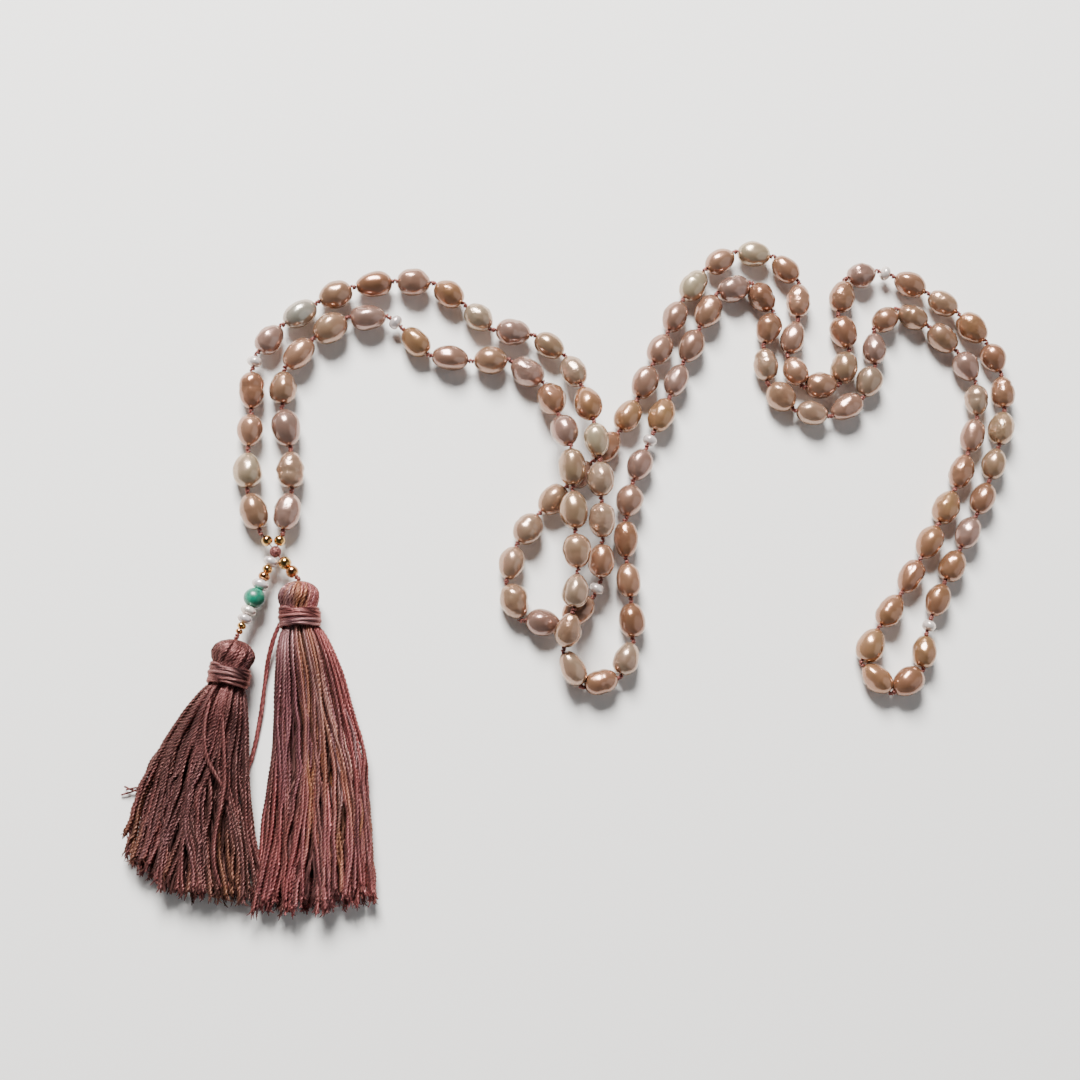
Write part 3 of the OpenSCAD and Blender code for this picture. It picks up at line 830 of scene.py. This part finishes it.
def bent(line, count):
    """A line through a few points, resampled evenly."""
    line = np.asarray(line, dtype=float)
    t = np.linspace(0.0, 1.0, len(line))
    fine = np.linspace(0.0, 1.0, count)
    for _ in range(2):
        line = np.stack([np.interp(np.linspace(0, 1, 2 * len(t)), t, c) for c in line.T], axis=1)
        line[1:-1] = (line[:-2] + 2 * line[1:-1] + line[2:]) / 4
        t = np.linspace(0.0, 1.0, len(line))
    return np.stack([np.interp(fine, t, c) for c in line.T], axis=1)


def head_strands(tassel, count=30):
    """Floss arched over the crown and drawn in under the wrap, a deep layer and a top layer."""
    made, draw = [], tassel.draw
    line = bent(HEAD_LINE, count)
    t = np.linspace(0.0, 1.0, count)
    for number, sunk, dim in HEAD_LAYERS:
        for k in range(number):
            turn = 2 * math.pi * k / number + 0.05 * draw.normal() + 0.6 * smooth(t)
            turn = turn + 0.08 * draw.normal() * np.sin(math.pi * t)
            reach = line[:, 1] * 1.04 + (0.14 * draw.normal() - sunk) * np.sin(math.pi * t)
            points = tassel.place(line[:, 0], reach * np.cos(turn), reach * np.sin(turn))
            thick = np.interp(t, [0, 0.2, 0.5, 1.0], [0.42, 0.66, 0.78, 0.66]) * MM
            dye = floss_dye(tassel.side, 0.9 * np.cos(turn), 0.04, draw, 0.25)
            # the sunk layer is dimmed as painted shade under the top layer
            dye = dye * (dim, dim, dim, 1.0)
            made.append(Strand(points, thick, 280.0, dye, start=6.28 * draw.random()))
    return made


def wrap_strands(tassel, turns=6, count=300):
    """The binding: one soft floss wound round the neck, its turns riding up on one another."""
    draw = tassel.draw
    t = np.linspace(0.0, 1.0, count)
    turn = 2 * math.pi * (turns + 0.3) * t + 2.0
    down = CROWN + 0.5 + (WRAP_H - 1.0) * t + 0.22 * np.sin(turn + 0.6) + 0.12 * np.sin(1.7 * turn)
    reach = 3.8 + 0.3 - 0.9 * (1 - smooth(t / 0.02)) - 0.9 * (1 - smooth((1 - t) / 0.02))
    reach = reach + 0.13 * np.sin(0.61 * turn + 1) + 0.1 * np.sin(math.pi * t)
    points = tassel.place(down, reach * np.cos(turn), reach * np.sin(turn))
    dye = floss_dye(tassel.side, 0.75 + 0.3 * np.sin(5.0 * t), 0.22, draw, 0.05)
    dye = dye * (0.5, 0.42, 0.46, 1.0)
    return [Strand(points, 1.0 * MM, 55.0, dye)]


def flow(tassel, across, t):
    """How far whole locks of strands drift to one side together."""
    a, b, c = tassel.phases
    return (0.55 * np.sin(2 * math.pi * (0.7 * t + 0.8 * across + a))
            + 0.35 * np.sin(2 * math.pi * (1.2 * t - 1.5 * across + b))
            + 0.2 * np.sin(2 * math.pi * (2.1 * t + 2.6 * across + c)))


def skirt_strand(tassel, rho, phi, count, length, stray=1.0):
    """One strand of the skirt: packed at the neck, spread and settled toward its tip."""
    draw = tassel.draw
    t = np.linspace(0.0, 1.0, count)
    settle = np.clip((t - 0.01) / 0.99, 0, 1)
    wide = NECK + (tassel.fan / 2 - 3.9) * settle ** tassel.spread
    high = NECK - 0.75 * smooth(t * 1.2) + 0.7 * np.exp(-((t - 0.12) / 0.1) ** 2)
    x, y = rho * math.cos(phi), rho * math.sin(phi)
    wave = np.zeros(count)
    lift = np.zeros(count)
    for much, often in ((0.5, 0.55), (0.3, 1.35), (0.16, 3.1), (0.1, 6.3), (0.04, 12.7)):
        wave += much * draw.normal() * np.sin(2 * math.pi * (often * t + draw.random()))
        lift += 0.5 * much * draw.normal() * np.sin(2 * math.pi * (often * t + draw.random()))
    loose = smooth((t - 0.03) / 0.5)
    own, bow, drift, curl, _ = tassel.sway
    held = 1.0 - 0.55 * x * x
    right = x * wide + (wave * own * stray + drift * flow(tassel, x + 0.3 * y, t)) * loose * held
    right = right + bow * np.sin(math.pi * t) + stray * 0.35 * draw.normal() * t ** 3
    right = right + curl * np.sign(x) * abs(x) ** 1.5 * t ** 5
    low = 0.62 - tassel.crown[2] / MM
    up = (low + high + 0.1) + y * high + lift * own * stray * loose * 0.7
    up = np.maximum(up, low + 0.12 * draw.random())
    steps = np.sqrt(np.diff(right) ** 2 + (length * np.diff(t)) ** 2)
    ratio = length / max(steps.sum(), 1e-6)
    down = SKIRT_TOP + length * t * ratio
    return tassel.place(down, right, up)


def skirt_strands(tassel, number, count, core):
    made, draw = [], tassel.draw
    for k in range(number):
        rho = math.sqrt((k + 0.5) / number)
        if (rho < CORE_SHARE) != core:
            continue
        phi = k * GOLDEN_TURN + 0.12 * draw.normal()
        length = tassel.length - SKIRT_TOP - 4.0 * draw.random() ** 1.3 - 1.6
        length -= tassel.sway[4] * max(-rho * math.cos(phi) - 0.35, 0.0)
        stray = 1.0 + 0.8 * (draw.random() > 0.9)
        points = skirt_strand(tassel, rho, phi, count, length, stray)
        t = np.linspace(0.0, 1.0, count)
        thick = np.interp(t, [0, 0.05, 0.2, 0.95, 1.0], [0.66, 0.7, 0.84, 0.92, 1.02]) * MM
        thick *= 0.92 + 0.16 * draw.random()
        dye = floss_dye(tassel.side, rho * math.cos(phi), t, draw)
        # the core strands' colour is halved: painted shade inside the skirt
        if core:
            dye[:, :3] *= 0.5
        turns = 90.0 if core else 360.0 + 40 * draw.random()
        made.append(Strand(points, thick, turns, dye, start=6.28 * draw.random()))
    return made


def frayed_tips(tassel, strands):
    """Fine filaments that spread from the cut end of each strand."""
    made, draw = [], tassel.draw
    for strand_ in strands:
        end, toward = strand_.points[-1], unit(strand_.points[-1] - strand_.points[-4])
        for _ in range(5):
            lean = unit(toward + 0.3 * draw.normal(size=3))
            t = np.linspace(0.0, 1.0, 5)[:, None]
            long = (0.7 + 1.5 * draw.random()) * MM
            start = end - toward * 0.5 * MM + 0.22 * MM * draw.normal(size=3)
            points = start + toward * long * t + (lean - toward) * long * t ** 2
            points[:, 2] = np.maximum(points[:, 2], 0.16 * MM)
            made.append(Strand(points, 0.27 * MM, 0.0, strand_.dye[-1] * (0.9, 0.9, 0.9, 1.0)))
    return made


# Loose strands, as points in the frame in millimetres: the binding's tail beside the right skirt,
# a frayed end at the left skirt's edge, and two strands that have strayed over its front
BINDING_TAIL = [
    [(-72.2, -15.2, 3.4), (-73.4, -17.5, 3.0), (-75.1, -24.3, 1.6), (-76.0, -33.1, 0.9),
     (-77.0, -41.8, 0.7), (-79.2, -50.4, 0.7)],
    [(-72.4, -15.4, 3.0), (-73.9, -18.2, 2.6), (-75.6, -25.0, 0.9), (-75.6, -32.0, 1.2),
     (-76.6, -40.0, 0.6), (-78.0, -46.4, 0.6)]]
FRAYED_EDGE = [
    [(-97.0, -50.0, 1.4), (-99.6, -52.6, 1.0), (-102.2, -53.0, 1.2), (-104.6, -51.8, 1.0)],
    [(-98.0, -50.8, 1.1), (-101.2, -52.2, 0.8), (-103.6, -53.2, 0.8), (-105.2, -53.6, 0.6)],
    [(-99.0, -52.0, 0.8), (-102.2, -52.0, 1.4), (-104.2, -52.6, 1.5)]]
STRAYED = [
    [(-86.0, -29.6, 6.6), (-87.2, -33.6, 7.9), (-88.3, -39.5, 7.9), (-87.8, -45.5, 7.4),
     (-86.1, -48.5, 7.2), (-84.1, -51.2, 7.0), (-83.0, -54.8, 6.4)],
    [(-84.6, -29.4, 6.6), (-84.6, -33.6, 8.1), (-84.1, -41.0, 7.8), (-83.4, -48.5, 7.6),
     (-83.3, -53.5, 7.4), (-85.3, -61.9, 7.0), (-85.2, -68.8, 6.7), (-83.5, -73.1, 5.6)]]


def side_strands(tassel):
    """The loose strands of one tassel."""
    # the lines, points along each, thickness, where the dye is taken from, and twist
    if tassel.side == "right":
        groups = [(BINDING_TAIL, 70, 0.8, 1.0, 0.3, 260.0)]
    else:
        groups = [(FRAYED_EDGE, 70, 0.42, 0.0, 0.0, 260.0), (STRAYED, 120, 0.95, -0.2, 0.25, 380.0)]
    made = []
    for lines, count, thick, across, down, twist in groups:
        for line in lines:
            points = bent(np.array(line) * MM, count)
            dye = floss_dye(tassel.side, np.full(count, across), down, tassel.draw, 0.1)
            made.append(Strand(points, thick * MM, twist, dye))
    return made


TASSELS = [
    Tassel("right", 74.0, 26.4, 0.5, (1.0, 2.1, 1.6, 1.0, 0.0), 11),
    Tassel("left", 58.0, 30.5, 0.72, (1.0, -1.8, 1.7, 1.2, 9.0), 29)]


def make_tassels():
    """Each tassel's head, binding, skirt, cut ends, stray strands and hanging thread."""
    for tassel in TASSELS:
        side = tassel.side
        body = f"{side}_tassel"
        head = make_ropes(f"{side}_head_floss", head_strands(tassel), FLOSS, 9, 3, 0.1)
        wrap = make_ropes(f"{side}_wrap_floss", wrap_strands(tassel), FLOSS, 12, 2, 0.03)
        strands = skirt_strands(tassel, 180, SKIRT_STEPS[side], False)
        outer = [make_ropes(f"{side}_skirt_floss_{part + 1}", strands[part::3], FLOSS, 9, 3, 0.18)
                 for part in range(3)]
        fray = make_ropes(f"{side}_frayed_tips", frayed_tips(tassel, strands), FLOSS, 4, 2, 0.05)
        core = make_ropes(f"{side}_skirt_core", skirt_strands(tassel, 150, 44, True), FLOSS,
                          6, 2, 0.05)
        tail = make_ropes(f"{side}_loose_floss", side_strands(tassel), FLOSS, 9, 3, 0.12)
        neck = tassel.place([0.75, 1.6, 3.2], [0, 0, 0], [0, 0, 0])
        thread = make_ropes(f"{side}_tassel_cord", [silk_strand(neck, tassel.draw)], SILK,
                            9, 3, 0.12)
        for piece, node in ((head, "head"), (wrap, "wrap"), *((part, "skirt") for part in outer),
                            (core, "skirt"), (fray, "skirt"), (tail, "skirt"), (thread, "thread")):
            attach(piece, body)
            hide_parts(f"{side}_tassel_{node}")


# ---------------------------------------------------------------- floor and light

def stage():
    """A plain pale floor."""
    mesh = bpy.data.meshes.new("floor")
    half = 3.0
    mesh.from_pydata([(-half, -half, 0), (half, -half, 0), (half, half, 0), (-half, half, 0)], [],
                     [(0, 1, 2, 3)])
    floor = bpy.data.objects.new("floor", mesh)
    bpy.context.scene.collection.objects.link(floor)
    material, tree, principled = finish("pale_floor", Roughness=0.85)
    tree.join(shade(248, 247, 245), principled.inputs["Base Color"])
    mesh.materials.append(material)


def light(name, place, look, size, power, tint=(1.0, 1.0, 1.0)):
    data = bpy.data.lights.new(name, "AREA")
    data.shape = "RECTANGLE"
    data.size, data.size_y = size
    data.energy = power
    data.color = tint
    lamp = bpy.data.objects.new(name, data)
    lamp.location = place
    lamp.rotation_euler = (Vector(look) - Vector(place)).to_track_quat("-Z", "Y").to_euler()
    bpy.context.scene.collection.objects.link(lamp)


def set_lights():
    """A window beyond the strand, a weak fill, and a room that is dark overhead."""
    light("window", (-0.28, 0.86, 0.80), (0, 0, 0), (0.5, 0.5), 56.0, (1.0, 0.985, 0.96))
    light("side_fill", (0.9, -0.3, 0.7), (0, 0, 0), (1.2, 1.3), 3.0, (0.97, 0.98, 1.0))
    world = bpy.data.worlds.new("soft_room")
    bpy.context.scene.world = world
    world.use_nodes = True
    tree = Tree(world.node_tree)
    high = tree.parts(tree.node("ShaderNodeTexCoord").outputs["Generated"])[2]
    room = tree.ramp(high, [(0.0, (0.8, 0.78, 0.76)), (0.3, (0.6, 0.59, 0.58)),
                            (0.7, (0.1, 0.1, 0.105))])
    background = world.node_tree.nodes["Background"]
    tree.join(room, background.inputs[0])
    background.inputs[1].default_value = 0.46


order, knots = strand()
make_silk(order, knots)
make_guru(knots)
make_tassels()
make_beads()
for node, pearls in pearl_looks(order).items():
    piece = make_pearls(node + "_nacre", pearls, WHITE_NACRE if node.endswith("_seeds") else NACRE)
    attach(piece, node.rsplit("_", 1)[0])
    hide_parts(node)
stage()
set_lights()
